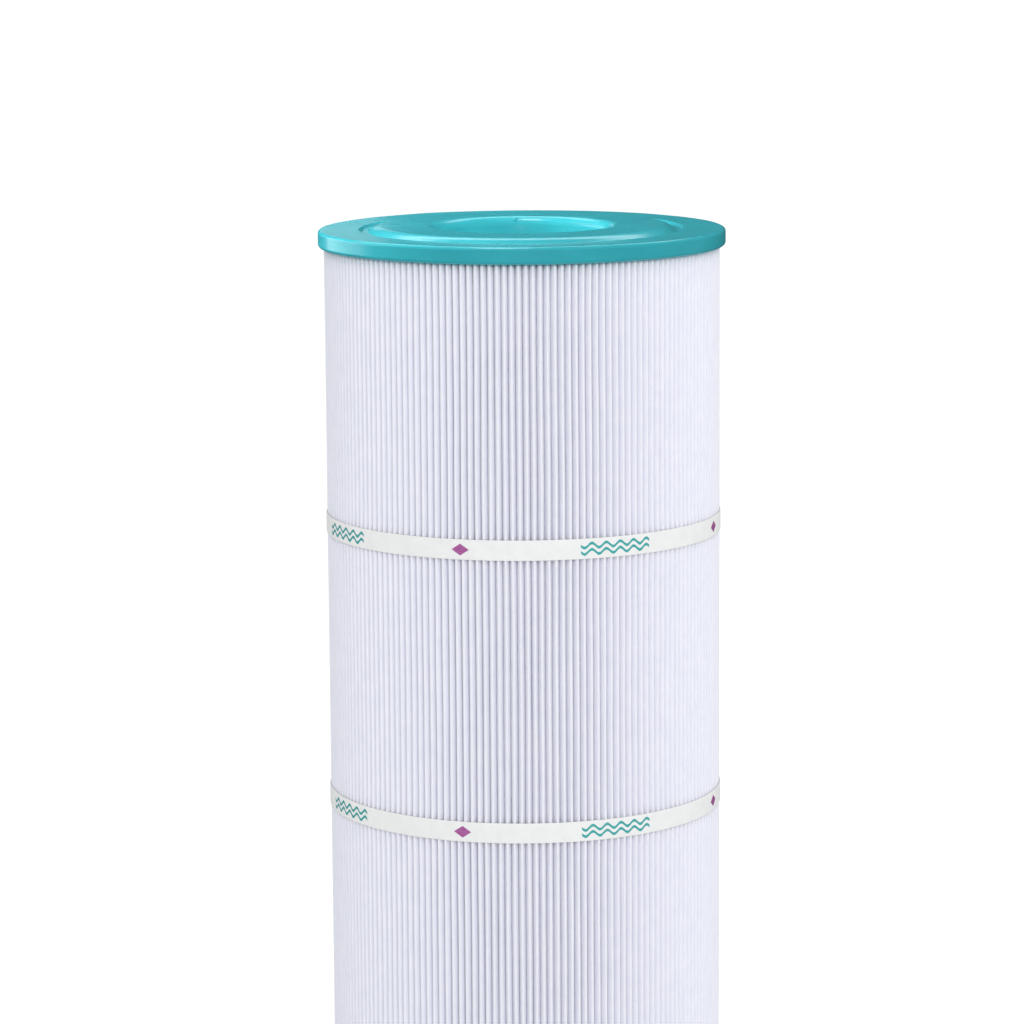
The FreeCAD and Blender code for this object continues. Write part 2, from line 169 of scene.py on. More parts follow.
PRINT_REPEATS = 4
PRINT_LIFT = 0.02 * MM
PRINT_SINK = 0.03 * MM
WAVE_PLACE = FRONT + math.radians(27)
WAVE_HALF_LENGTH = 16.5 * MM
WAVE_PITCH = 6.6 * MM
WAVE_HEIGHT = 1.0 * MM
WAVE_HALF_WIDTH = 0.62 * MM
WAVE_OFFSET = 1.35 * MM
WAVE_STEPS = 132
LOZENGE_PLACE = FRONT + math.radians(-18)
LOZENGE_REACH = 3.8 * MM
LOZENGE_HALF_HEIGHT = 2.5 * MM
LOZENGE_BLUNTNESS = 0.05 * MM
LOZENGE_STEPS = 24


# ---------------------------------------------------------------- mesh helpers

def add_object(name, data):
    holder = bpy.data.objects.new(name, data)
    bpy.context.scene.collection.objects.link(holder)
    return holder


def add_piece(name, points, faces, materials, replaced=None):
    """A mesh object that rides with the cartridge and may stand for a CAD node."""
    mesh = bpy.data.meshes.new(name)
    mesh.from_pydata([tuple(p) for p in points], [], faces)
    mesh.validate()
    for material in materials:
        mesh.materials.append(material)
    mesh.shade_smooth()
    piece = add_object(name, mesh)
    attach(piece, "root")
    if replaced:
        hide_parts(replaced)
    return piece


def weight_normals(piece):
    """Keeps flat faces flat beside small roundings."""
    modifier = piece.modifiers.new("even_flats", "WEIGHTED_NORMAL")
    modifier.weight = 80


def smoothstep(t):
    t = min(max(t, 0.0), 1.0)
    return t * t * (3 - 2 * t)


def polar(radius, angle):
    return np.stack([radius * np.cos(angle), radius * np.sin(angle)], axis=-1)


def rounded_outline(corners, arc_step=math.radians(4)):
    """A closed outline from (r, z, rounding) corners. Each rounding is an arc tangent to both sides."""
    outline = []
    count = len(corners)
    for i, (r, z, rounding) in enumerate(corners):
        here = Vector((r, z))
        before = (Vector(corners[i - 1][:2]) - here).normalized()
        after = (Vector(corners[(i + 1) % count][:2]) - here).normalized()
        opening = before.angle(after)
        reach = rounding / math.tan(opening / 2)
        centre = here + (before + after).normalized() * (rounding / math.sin(opening / 2))
        start, end = here + before * reach - centre, here + after * reach - centre
        steps = max(2, math.ceil((math.pi - opening) / arc_step))
        turn = start.angle_signed(end)
        for step in range(steps + 1):
            spoke = Matrix.Rotation(-turn * step / steps, 2) @ start
            outline.append(centre + spoke)
    return outline


def split_long_sides(outline, longest):
    """Adds points along the outline's long sides, so that a gentle ripple can bend them."""
    fine = []
    for here, there in zip(outline, outline[1:] + outline[:1]):
        pieces = max(1, math.ceil((there - here).length / longest))
        fine += [here.lerp(there, step / pieces) for step in range(pieces)]
    return fine


def turned_mesh(outline, segments, place):
    """Points and faces of an outline turned round the axis. place(r, z, angle) gives each point."""
    count = len(outline)
    points = [place(p.x, p.y, TURN * s / segments) for s in range(segments) for p in outline]
    faces = []
    for s in range(segments):
        here, there = s * count, (s + 1) % segments * count
        for i in range(count):
            j = (i + 1) % count
            faces.append((here + i, here + j, there + j, there + i))
    return points, faces


def swept_faces(first, sections, count):
    """Faces of a bar whose sections have count points each, from point first on, with both ends closed."""
    faces = []
    for section in range(sections - 1):
        here = first + section * count
        there = here + count
        for i in range(count):
            j = (i + 1) % count
            faces.append((here + i, there + i, there + j, here + j))
    last = first + (sections - 1) * count
    faces.append(tuple(range(first, first + count)))
    faces.append(tuple(range(last, last + count))[::-1])
    return faces


def ball(centre, radius, first, rings=8, segments=16):
    """Points of a closed ball and its faces, whose indices start at first."""
    points = [centre + Vector((0, 0, radius))]
    for ring in range(1, rings):
        tilt = math.pi * ring / rings
        for s in range(segments):
            a = TURN * s / segments
            spoke = Vector((math.sin(tilt) * math.cos(a), math.sin(tilt) * math.sin(a), math.cos(tilt)))
            points.append(centre + spoke * radius)
    points.append(centre - Vector((0, 0, radius)))
    upper_ring, last = first + 1, first + len(points) - 1
    lower_ring = last - segments
    faces = []
    for s in range(segments):
        following = (s + 1) % segments
        faces.append((first, upper_ring + s, upper_ring + following))
        for here in range(upper_ring, lower_ring, segments):
            there = here + segments
            faces.append((here + s, there + s, there + following, here + following))
        faces.append((lower_ring + s, last, lower_ring + following))
    return points, faces


# ---------------------------------------------------------------- material helpers

# Most of a noise texture's values lie in this range.
NOISE_RANGE = (0.3, 0.7)


def new_material(name):
    material = bpy.data.materials.new(name)
    material.use_nodes = True
    return material, material.node_tree, material.node_tree.nodes["Principled BSDF"]


def set_input(tree, socket, value):
    """Feeds an input with a value or with another node's output."""
    if isinstance(value, bpy.types.NodeSocket):
        tree.links.new(value, socket)
    else:
        socket.default_value = value


def add_node(tree, kind, settings=None, **inputs):
    """A node with its settings and its named inputs."""
    node = tree.nodes.new("ShaderNode" + kind)
    for name, value in (settings or {}).items():
        setattr(node, name, value)
    for name, value in inputs.items():
        set_input(tree, node.inputs[name.replace("_", " ")], value)
    return node


def object_place(tree):
    return add_node(tree, "TexCoord").outputs["Object"]


def stretched_noise(tree, scale, stretch=(1, 1, 1), turn=(0, 0, 0), detail=3.0, roughness=0.5):
    """Noise in the object's own space, drawn out along the axes whose stretch is below 1."""
    mapping = add_node(tree, "Mapping", Vector=object_place(tree), Rotation=turn, Scale=stretch)
    texture = add_node(tree, "TexNoise", Vector=mapping.outputs["Vector"], Scale=scale, Detail=detail,
                       Roughness=roughness)
    return texture.outputs["Fac"]


def math_node(tree, operation, a, b):
    node = add_node(tree, "Math", {"operation": operation})
    set_input(tree, node.inputs[0], a)
    set_input(tree, node.inputs[1], b)
    return node.outputs[0]


def remap(tree, value, source, target):
    """The value moved from the range source to the range target, and kept inside it."""
    node = add_node(tree, "MapRange", Value=value, From_Min=source[0], From_Max=source[1],
                    To_Min=target[0], To_Max=target[1])
    return node.outputs["Result"]


def mix_colours(tree, share, first, second):
    node = add_node(tree, "Mix", {"data_type": "RGBA"})
    sockets = [s for s in node.inputs if s.enabled]
    for socket, value in zip(sockets, (share, first, second)):
        set_input(tree, socket, value)
    return next(s for s in node.outputs if s.enabled)


def add_bump(tree, shader, height, distance, strength):
    bump = add_node(tree, "Bump", Height=height, Distance=distance, Strength=strength)
    tree.links.new(bump.outputs["Normal"], shader.inputs["Normal"])


# ---------------------------------------------------------------- materials

def fabric_material():
    """Spunbonded polyester: fibres laid every way, cloudy in weight, matt, cool white."""
    material, tree, shader = new_material("spunbonded_fabric")
    thin, thick, wet = (0.870, 0.880, 0.955, 1), (0.905, 0.912, 0.972, 1), (0.30, 0.62, 0.68, 1)
    clouds = stretched_noise(tree, scale=160, detail=4.0)
    along, leaning, crossing = (
        stretched_noise(tree, scale=2600, stretch=(1, 1, 0.12), turn=turn)
        for turn in ((0, 0, 0), (0.6, 0.5, 0), (-0.7, 0.9, 0)))
    fibres = math_node(tree, "MAXIMUM", math_node(tree, "MAXIMUM", along, leaning), crossing)
    colour = mix_colours(tree, remap(tree, clouds, NOISE_RANGE, (0, 1)), thin, thick)
    stained = mix_colours(tree, wicking(tree), colour, wet)
    tree.links.new(stained, shader.inputs["Base Color"])
    tree.links.new(remap(tree, fibres, (0.4, 0.8), (0.95, 0.7)), shader.inputs["Roughness"])
    shader.inputs["Sheen Weight"].default_value = 0.15
    shader.inputs["Sheen Roughness"].default_value = 0.5
    add_bump(tree, shader, fibres, distance=0.06 * MM, strength=0.6)
    return material


def wicking(tree):
    """How far liquid resin has crept up the fibres next to the caps: 1 at a cap, 0 a little away."""
    fringe_reach, dry_at, wet_at = 1.2 * MM, 0.5 * MM, -0.4 * MM
    height = add_node(tree, "SeparateXYZ", Vector=object_place(tree)).outputs["Z"]
    above_lower = math_node(tree, "SUBTRACT", height, FREE_LOW)
    below_upper = math_node(tree, "SUBTRACT", FREE_HIGH, height)
    away = math_node(tree, "MINIMUM", above_lower, below_upper)
    streaks = stretched_noise(tree, scale=700, stretch=(1, 1, 0.3))
    fringe = math_node(tree, "MULTIPLY", streaks, fringe_reach)
    return remap(tree, math_node(tree, "SUBTRACT", away, fringe), (wet_at, dry_at), (1, 0))


def ribbon_material():
    """Smooth non-woven ribbon, a warmer white than the fabric, with fibres along its length."""
    material, tree, shader = new_material("ribbon")
    thin, thick = (0.885, 0.892, 0.88, 1), (0.93, 0.935, 0.925, 1)
    clouds = stretched_noise(tree, scale=220)
    fibres = stretched_noise(tree, scale=1800, stretch=(0.2, 0.2, 1.6))
    colour = mix_colours(tree, remap(tree, clouds, NOISE_RANGE, (0, 1)), thin, thick)
    tree.links.new(colour, shader.inputs["Base Color"])
    shader.inputs["Roughness"].default_value = 0.6
    add_bump(tree, shader, fibres, distance=0.03 * MM, strength=0.4)
    return material


def urethane_material():
    """Cast teal polyurethane: satin skin, faint flow clouds and a few pin holes."""
    material, tree, shader = new_material("cast_urethane")
    deep, pale, pit = (0.030, 0.345, 0.400, 1), (0.036, 0.385, 0.440, 1), (0.012, 0.2, 0.24, 1)
    pit_radius, pit_threshold, pit_stain = 0.09, 0.95, 0.35
    flow = stretched_noise(tree, scale=45, stretch=(1, 1, 2.5), detail=5.0, roughness=0.6)
    colour = mix_colours(tree, remap(tree, flow, NOISE_RANGE, (0, 1)), deep, pale)
    cells = add_node(tree, "TexVoronoi", Vector=object_place(tree), Scale=260.0)
    near_centre = remap(tree, cells.outputs["Distance"], (0, pit_radius), (1, 0))
    chosen = math_node(tree, "GREATER_THAN", cells.outputs["Color"], pit_threshold)
    pits = math_node(tree, "MULTIPLY", near_centre, chosen)
    speckled = mix_colours(tree, math_node(tree, "MULTIPLY", pits, pit_stain), colour, pit)
    tree.links.new(speckled, shader.inputs["Base Color"])
    handling = stretched_noise(tree, scale=25, detail=1.0)
    tree.links.new(remap(tree, handling, NOISE_RANGE, (0.19, 0.215)), shader.inputs["Roughness"])
    shader.inputs["Specular IOR Level"].default_value = 0.4
    swell = stretched_noise(tree, scale=120, detail=2.0)
    add_bump(tree, shader, math_node(tree, "SUBTRACT", swell, pits), distance=0.03 * MM, strength=0.12)
    return material


def core_material():
    """Injection-moulded white plastic with a faint grain."""
    material, tree, shader = new_material("core_plastic")
    grain = stretched_noise(tree, scale=1200, detail=4.0)
    tint = stretched_noise(tree, scale=30)
    colour = mix_colours(tree, tint, (0.78, 0.78, 0.76, 1), (0.84, 0.84, 0.82, 1))
    tree.links.new(colour, shader.inputs["Base Color"])
    tree.links.new(remap(tree, grain, NOISE_RANGE, (0.38, 0.55)), shader.inputs["Roughness"])
    add_bump(tree, shader, grain, distance=0.02 * MM, strength=0.5)
    return material


def adhesive_material():
    """Hot-melt adhesive: milky, glossy, a little yellow."""
    material, tree, shader = new_material("adhesive")
    swirl = stretched_noise(tree, scale=180, detail=2.0)
    colour = mix_colours(tree, swirl, (0.72, 0.69, 0.58, 1), (0.83, 0.81, 0.72, 1))
    tree.links.new(colour, shader.inputs["Base Color"])
    shader.inputs["Roughness"].default_value = 0.25
    add_bump(tree, shader, swirl, distance=0.1 * MM, strength=0.6)
    return material


def ink_material(name, colour):
    """Printed ink, thinner where the ribbon's fibres stand up."""
    material, tree, shader = new_material(name)
    ribbon_white, ribbon_share = 0.8, 0.18
    worn = tuple((1 - ribbon_share) * c + ribbon_share * ribbon_white for c in colour[:3]) + (1,)
    wear = stretched_noise(tree, scale=1500, stretch=(0.3, 0.3, 1.5))
    share = remap(tree, wear, (0.5, 0.75), (0, 1))
    tree.links.new(mix_colours(tree, share, colour, worn), shader.inputs["Base Color"])
    shader.inputs["Roughness"].default_value = 0.5
    return material


# ---------------------------------------------------------------- end caps

def cap_outline():
    """The cap's section, with the flat rim's outer face at z = 0, as (r, z) points."""
    corners = [
        (BORE_RADIUS, -HUB_DEPTH, HUB_INNER_ROUND),
        (BORE_RADIUS, SEAT_HEIGHT, OPENING_ROUND),
        (SEAT_RADIUS, SEAT_HEIGHT, SEAT_ROUND),
        (STEP_FOOT, -GROOVE_DEPTH, STEP_ROUND),
        (GROOVE_EDGE, -GROOVE_DEPTH, GROOVE_ROUND),
        (GROOVE_TOP, 0, STEP_ROUND),
        (CAP_RADIUS, 0, RIM_ROUND),
        (CAP_RADIUS, -RIM_HEIGHT, RIM_ROUND),
        (HUB_RADIUS, -RIM_HEIGHT, HUB_ROOT_ROUND),
        (HUB_RADIUS, -HUB_DEPTH, HUB_OUTER_ROUND),
    ]
    return split_long_sides(rounded_outline(corners), LONGEST_SIDE)


def cap_ripple(r, z, angle, seed):
    """How far a cast skin wanders: a long swell and a short ripple."""
    place = Vector((r * math.cos(angle), r * math.sin(angle), z + seed))
    return SWELL_SIZE * noise.noise(place * SWELL_RATE) + RIPPLE_SIZE * noise.noise(place * RIPPLE_RATE)


def make_cap(name, upper, material):
    """One cap with its sprue stub, where the resin was poured. The lower cap is turned over."""
    seed = 1.0 if upper else 2.0
    side = 1 if upper else -1
    face = cad_high.z - SEAT_HEIGHT if upper else cad_low.z + SEAT_HEIGHT

    def place(r, z, angle):
        ripple = cap_ripple(r, z, angle, seed)
        # The seat stays flat, because the cartridge stands on it.
        rise = ripple * smoothstep(1 - z / SEAT_HEIGHT)
        spread = RIM_SHARE * ripple if r > CAP_RADIUS - RIM_SIDE else 0
        return (*polar(r + spread, angle), face + side * (z + rise))

    points, faces = turned_mesh(cap_outline(), CAP_SEGMENTS, place)
    if not upper:
        faces = [f[::-1] for f in faces]
    sprue = Vector((SPRUE_ACROSS, BORE_RADIUS + SPRUE_SETBACK, face - side * SPRUE_SINK))
    sprue_points, sprue_faces = ball(sprue, SPRUE_RADIUS, len(points))
    weight_normals(add_piece(name + "_skin", points + sprue_points, faces + sprue_faces, [material],
                             name))


# ---------------------------------------------------------------- pleated fabric

def fabric_levels():
    """Heights of the mesh rows: even within each bay, with one step across each band."""
    stops = [FABRIC_LOW] + [z for span in BAND_SPANS for z in span] + [FABRIC_HIGH]
    steps = [BAY_STEPS, 1] * len(BAND_SPANS) + [BAY_STEPS + 1]
    levels = [FABRIC_LOW]
    for low, high, count in zip(stops, stops[1:], steps):
        levels += [low + (high - low) * (step + 1) / count for step in range(count)]
    return np.array(levels)


def bay_share(z):
    """0 at a cap or a band, where the folds are held, and 1 half way between."""
    stops = [FREE_LOW] + [stop for span in BAND_SPANS for stop in span] + [FREE_HIGH]
    # Below 1, the folds come free soon after a band.
    loosening = 0.7
    for low, high in zip(stops[::2], stops[1::2]):
        if low < z < high:
            return math.sin(math.pi * (z - low) / (high - low)) ** loosening
    return 0.0


def fold_noise(fold, z, per_fold, per_metre, seed):
    """Smooth noise from -1 to 1 over the folds and their height. Each use has its own seed."""
    return noise.noise(Vector((fold * per_fold, z * per_metre, seed)))


def fold_play(levels):
    """How each fold strays at each level: its tip's sideways and inward shift, its tip's bend
    radius, and half the gap it leaves to the next fold where the two lie closest."""
    sideways = np.zeros((FOLDS, len(levels)))
    inward = np.zeros_like(sideways)
    bend = np.zeros_like(sideways)
    clearance = np.zeros_like(sideways)
    own_rate, own_seed = 0.73, (3.1, 0.5)
    for fold in range(FOLDS):
        own = OWN_LEAN * noise.noise(Vector((fold * own_rate, *own_seed)))
        # The folds spread round the cartridge until the first and last reach the seam's legs.
        own -= SEAM_SLACK * (1 - 2 * fold / FOLDS)
        for row, z in enumerate(levels):
            share = bay_share(z)
            slow = fold_noise(fold, z, per_fold=0.21, per_metre=14, seed=7.7)
            quick = fold_noise(fold, z, per_fold=0.9, per_metre=38, seed=2.3)
            sideways[fold, row] = own + share * (SLOW_LEAN * slow + QUICK_LEAN * quick)
            depth = fold_noise(fold, z, per_fold=0.6, per_metre=18, seed=11.9)
            inward[fold, row] = ALWAYS_INWARD + share * BAY_INWARD * (0.5 + depth)
            swell = fold_noise(fold, z, per_fold=1.3, per_metre=22, seed=5.1)
            bend[fold, row] = TIP_BEND * (1 + BEND_CHANGE * swell)
            slack = fold_noise(fold, z, per_fold=1.1, per_metre=16, seed=21.4)
            clearance[fold, row] = USUAL_CLEARANCE * (1 + slack)
    return sideways, inward, bend, clearance


def tangent(centre, target, radius, side):
    """Unit vector from an arc's centre to where a straight leg that ends at target leaves the arc.

    side is 1 or -1, for the two ways round. Looking from centre to target, 1 is the left-hand side.
    """
    along = target - centre
    distance = np.linalg.norm(along, axis=-1, keepdims=True)
    along = along / distance
    lean = radius[..., None] / distance
    across = np.stack([-along[..., 1], along[..., 0]], axis=-1) * side
    return along * lean + across * np.sqrt(1 - lean ** 2)


def arc_columns(centre, start, end, through, radius, steps):
    """Columns on an arc from unit vector start to end, on the side where unit vector through points."""
    middle = np.arctan2(through[..., 1], through[..., 0])
    before = np.arctan2(start[..., 1], start[..., 0]) - middle
    after = np.arctan2(end[..., 1], end[..., 0]) - middle
    before = (before + math.pi) % TURN - math.pi
    after = (after + math.pi) % TURN - math.pi
    return [centre + polar(radius, middle + before + (after - before) * step / steps)
            for step in range(steps + 1)]


def unit(vectors):
    return vectors / np.linalg.norm(vectors, axis=-1, keepdims=True)


def fabric_surface(levels, half, tip_steps, root_steps):
    """Columns of one face of the sheet, in stretches: leg end, root, touch, tip, touch, root, ...

    half is half the sheet's thickness, positive for the water side and negative for the core side.
    Neighbouring folds all but touch at TOUCH_RADIUS, as slack fabric does. Each stretch is
    (is_fine, list of columns), and a column is one (x, y) per level.
    """
    sideways, inward, bend, clearance = fold_play(levels)
    tip_line = bend - FABRIC_THICKNESS / 2
    root_line = np.full(len(levels), ROOT_LINE)
    tip_centre_radius = TIP_RADIUS - bend - inward

    def every_level(point):
        return np.tile(point, (len(levels), 1))

    def tip_centre(fold):
        angle = SEAM + fold * FOLD_STEP + sideways[fold] / TIP_RADIUS
        return polar(tip_centre_radius[fold], angle)

    def root_centre(fold):
        return every_level(polar(ROOT_CENTRE, SEAM + (fold + 0.5) * FOLD_STEP))

    def touch(fold, side, offset):
        """Where fold's anticlockwise leg (side -1) or the next fold's clockwise leg (1) lies.

        offset is how far the wanted face is from the sheet's middle line, towards the gap.
        """
        wander = (sideways[fold] + sideways[(fold + 1) % FOLDS]) / 2
        if fold == 0:
            wander = clearance[fold] - SEAM_SLACK
        if fold == FOLDS - 1:
            wander = SEAM_SLACK - clearance[fold]
        away = side * (clearance[fold] + FABRIC_THICKNESS / 2 - offset)
        return polar(TOUCH_RADIUS, SEAM + (fold + 0.5) * FOLD_STEP + (wander + away) / TOUCH_RADIUS)

    radial = polar(1.0, SEAM)
    across = polar(1.0, SEAM + TURN / 4)

    def leg_end(side):
        """Where the sheet ends beside the seam, half a bend short of the tips."""
        return every_level(radial * (TIP_RADIUS - TIP_BEND / 2) + across * side * (SEAM_LEG + half))

    stretches = [(False, [leg_end(1)])]
    for fold in range(FOLDS):
        following = fold + 1
        root = root_centre(fold)
        start, end = every_level(-across), every_level(across)
        if fold > 0:
            start = tangent(root, touch(fold, -1, 0), root_line, -1)
            stretches.append((False, [touch(fold, -1, half)]))
        if following < FOLDS:
            end = tangent(root, touch(fold, 1, 0), root_line, 1)
        stretches.append((False, arc_columns(root, start, end, unit(-root), root_line - half, root_steps)))
        if following < FOLDS:
            stretches.append((False, [touch(fold, 1, half)]))
            tip = tip_centre(following)
            arrive = tangent(tip, touch(fold, 1, 0), tip_line[following], 1)
            leave = tangent(tip, touch(following, -1, 0), tip_line[following], -1)
            radius = tip_line[following] + half
            stretches.append((True, arc_columns(tip, arrive, leave, unit(tip), radius, tip_steps)))
    stretches.append((False, [leg_end(-1)]))
    return stretches


class SheetMesh:
    """Collects the points and faces of the folded sheet."""

    def __init__(self, levels):
        self.levels = levels
        self.points = []
        self.faces = []

    def add_column(self, column, fine):
        """Adds one column of points and returns its (indices, is_fine)."""
        rows = range(0, len(self.levels), 1 if fine else FINE_PER_COARSE)
        first = len(self.points)
        self.points += [(column[row, 0], column[row, 1], self.levels[row]) for row in rows]
        return list(range(first, len(self.points))), fine

    def face(self, corners, flip):
        self.faces.append(tuple(corners[::-1] if flip else corners))

    def bridge(self, left, right, flip):
        """Faces between two columns. Where their rows differ, each coarse row gets a fan."""
        (a, a_fine), (b, b_fine) = left, right
        if a_fine == b_fine:
            for row in range(len(a) - 1):
                self.face([a[row], b[row], b[row + 1], a[row + 1]], flip)
            return
        coarse, fine, turned = (a, b, flip) if b_fine else (b, a, not flip)
        middle = FINE_PER_COARSE // 2
        for row in range(len(coarse) - 1):
            base = row * FINE_PER_COARSE
            for step in range(FINE_PER_COARSE):
                corner = coarse[row] if step < middle else coarse[row + 1]
                self.face([corner, fine[base + step], fine[base + step + 1]], turned)
            self.face([coarse[row], fine[base + middle], coarse[row + 1]], turned)

    def add_side(self, surface, flip):
        """Adds one side of the sheet and returns its stretches of columns."""
        stretches = [[self.add_column(c, fine) for c in columns] for fine, columns in surface]
        flat = [column for stretch in stretches for column in stretch]
        for left, right in zip(flat, flat[1:]):
            self.bridge(left, right, flip)
        return stretches

    def close_edges(self, outer, inner):
        """Faces across the sheet's thickness, at its lower and upper edges and at its two ends."""
        for edge, flip in ((0, True), (-1, False)):
            for here in range(len(outer)):
                ring = [c[0][edge] for c in outer[here]] + [c[0][edge] for c in reversed(inner[here])]
                if len(ring) > 2:
                    self.face(ring, flip)
                if here + 1 < len(outer):
                    leg = [outer[here][-1], outer[here + 1][0], inner[here + 1][0], inner[here][-1]]
                    self.face([c[0][edge] for c in leg], flip)
        self.bridge(inner[0][0], outer[0][0], False)
        self.bridge(outer[-1][0], inner[-1][0], False)


def make_fabric(material):
    """The whole pleated sheet as one closed mesh."""
    levels = fabric_levels()
    half = FABRIC_THICKNESS / 2
    sheet = SheetMesh(levels)
    outer = sheet.add_side(fabric_surface(levels, half, **WATER_SIDE_STEPS), flip=False)
    inner = sheet.add_side(fabric_surface(levels, -half, **CORE_SIDE_STEPS), flip=True)
    sheet.close_edges(outer, inner)
    add_piece("pleated_sheet", sheet.points, sheet.faces, [material], "pleated_fabric")


# ---------------------------------------------------------------- bands and their print

def band_face(path_angle):
    """Radius of a band's outer face at an angle along its path, which starts at the splice."""
    climb = smoothstep((path_angle - (TURN - SPLICE_RAMP)) / SPLICE_RAMP)
    radius = BAND_RADIUS + BAND_THICKNESS + climb * (BAND_THICKNESS + SPLICE_GLUE)
    over_gap = 0.5 - 0.5 * math.cos(FOLDS * (SPLICE + path_angle - SEAM))
    return radius - (1 - climb) * BAND_SAG * over_gap


def make_band(name, span, material):
    """A ribbon that laps over its own start. Its long edges are a little thinner than its middle."""
    low, high = span
    steps = FOLDS * BAND_STEPS_PER_FOLD
    path = [TURN * step / steps for step in range(steps)]
    path += [TURN + SPLICE_OVERLAP * step / SPLICE_STEPS for step in range(SPLICE_STEPS + 1)]
    section = [(low + inset, thinner * BAND_THICKNESS) for inset, thinner in BAND_EDGE]
    section += [(high - inset, thinner * BAND_THICKNESS) for inset, thinner in reversed(BAND_EDGE)]
    section += [(high, BAND_THICKNESS), (low, BAND_THICKNESS)]
    points = [(*polar(band_face(along) - depth, SPLICE + along), z) for along in path for z, depth in section]
    faces = swept_faces(0, len(path), len(section))
    weight_normals(add_piece(name + "_ribbon", points, faces, [material], name))


def add_stroke(points, faces, centre_angle, half_length, steps, edges_at):
    """Adds a printed stroke to points and faces: a thin closed strip that follows a band's face.

    edges_at(u) gives the stroke's lower and upper edge at the distance u along the band from its
    middle.
    """
    first = len(points)
    for step in range(steps + 1):
        u = half_length * (2 * step / steps - 1)
        angle = centre_angle + u / (BAND_RADIUS + BAND_THICKNESS)
        along = (angle - SPLICE) % TURN
        if along < SPLICE_OVERLAP:
            along += TURN
        low, high = edges_at(u)
        top, bottom = band_face(along) + PRINT_LIFT, band_face(along) - PRINT_SINK
        section = ((top, low), (top, high), (bottom, high), (bottom, low))
        points += [(*polar(r, angle), z) for r, z in section]
    faces += swept_faces(first, steps + 1, len(section))


def make_print(name, span, teal, purple):
    """Plain marks that repeat every quarter turn: a pair of teal waves, then a purple lozenge."""
    middle = sum(span) / 2
    turns = [repeat * TURN / PRINT_REPEATS for repeat in range(PRINT_REPEATS)]
    points, faces = [], []

    def wave_edges(offset):
        def edges_at(u):
            height = middle + offset + WAVE_HEIGHT * math.sin(TURN * u / WAVE_PITCH)
            return height - WAVE_HALF_WIDTH, height + WAVE_HALF_WIDTH
        return edges_at

    def lozenge_edges(u):
        half_height = LOZENGE_HALF_HEIGHT * (1 - abs(u) / LOZENGE_REACH) + LOZENGE_BLUNTNESS
        return middle - half_height, middle + half_height

    for turn in turns:
        for offset in (-WAVE_OFFSET, WAVE_OFFSET):
            add_stroke(points, faces, WAVE_PLACE + turn, WAVE_HALF_LENGTH, WAVE_STEPS, wave_edges(offset))
    teal_faces = len(faces)
    for turn in turns:
        add_stroke(points, faces, LOZENGE_PLACE + turn, LOZENGE_REACH, LOZENGE_STEPS, lozenge_edges)
    piece = add_piece(name + "_print", points, faces, [teal, purple])
    for polygon in piece.data.polygons:
        polygon.material_index = 0 if polygon.index < teal_faces else 1
    piece.data.shade_flat()


# ---------------------------------------------------------------- floor and surroundings

FLOOR_HALF = 30.0
FLOOR_DROP = 0.2 * MM
TENT_SEEN = 1.1
TENT_LIGHT = 0.66
TENT_MIRRORED = 0.03


def floor_material():
    """Pale paper that also glows to the eye so that it reads as white, less round the cartridge: a painted
    shadow.
    """
    material, tree, shader = new_material("paper_floor")
    glow_from, glow_to, painted_shadow_glow, full_glow = 0.1, 0.4, 0.25, 0.55
    grain = stretched_noise(tree, scale=3.0)
    colour = mix_colours(tree, grain, (0.80, 0.80, 0.81, 1), (0.82, 0.82, 0.82, 1))
    tree.links.new(colour, shader.inputs["Base Color"])
    shader.inputs["Roughness"].default_value = 0.9
    place = add_node(tree, "NewGeometry").outputs["Position"]
    away = add_node(tree, "VectorMath", {"operation": "LENGTH"}, Vector=place).outputs["Value"]
    # Painted shadow: the glow is weaker within glow_to of the cartridge, and weakest inside glow_from.
    strength = remap(tree, away, (glow_from, glow_to), (painted_shadow_glow, full_glow))
    glow = add_node(tree, "Emission", Color=(1, 1, 1, 1), Strength=strength)
    glow_seen = add_node(tree, "MixShader", Fac=add_node(tree, "LightPath").outputs["Is Camera Ray"])
    tree.links.new(glow.outputs[0], glow_seen.inputs[2])
    both = add_node(tree, "AddShader")
    tree.links.new(shader.outputs[0], both.inputs[0])
    tree.links.new(glow_seen.outputs[0], both.inputs[1])
    tree.links.new(both.outputs[0], tree.nodes["Material Output"].inputs["Surface"])
    return material


def make_floor():
    """A wide floor just under the cartridge, which isn't mirrored in it."""
    half = FLOOR_HALF
    corners = [(-half, -half, 0), (half, -half, 0), (half, half, 0), (-half, half, 0)]
    mesh = bpy.data.meshes.new("floor")
    mesh.from_pydata(corners, [], [(0, 1, 2, 3)])
    mesh.materials.append(floor_material())
    floor = add_object("floor", mesh)
    floor.location.z = cad_low.z - FLOOR_DROP
    floor.visible_glossy = False


def make_world():
    """White to the eye, an even tent for matt surfaces, and a dim one to mirror in glossy skins."""
    world = bpy.data.worlds.new("tent")
    bpy.context.scene.world = world
    world.use_nodes = True
    tree = world.node_tree
    background = tree.nodes["Background"]
    rays = add_node(tree, "LightPath").outputs
    mirrored = math_node(tree, "MULTIPLY", rays["Is Glossy Ray"], TENT_MIRRORED - TENT_LIGHT)
    seen = math_node(tree, "MULTIPLY", rays["Is Camera Ray"], TENT_SEEN - TENT_LIGHT)
    strength = math_node(tree, "ADD", math_node(tree, "ADD", mirrored, seen), TENT_LIGHT)
    background.inputs["Color"].default_value = (0.98, 0.985, 1.0, 1)
    tree.links.new(strength, background.inputs["Strength"])


# ---------------------------------------------------------------- lights

BODY_AIM = 0.6
CAP_PIECES = ["upper_end_cap_skin", "lower_end_cap_skin"]
WHITE_PIECES = ["pleated_sheet"] + [band + "_ribbon" for band in BAND_NAMES]


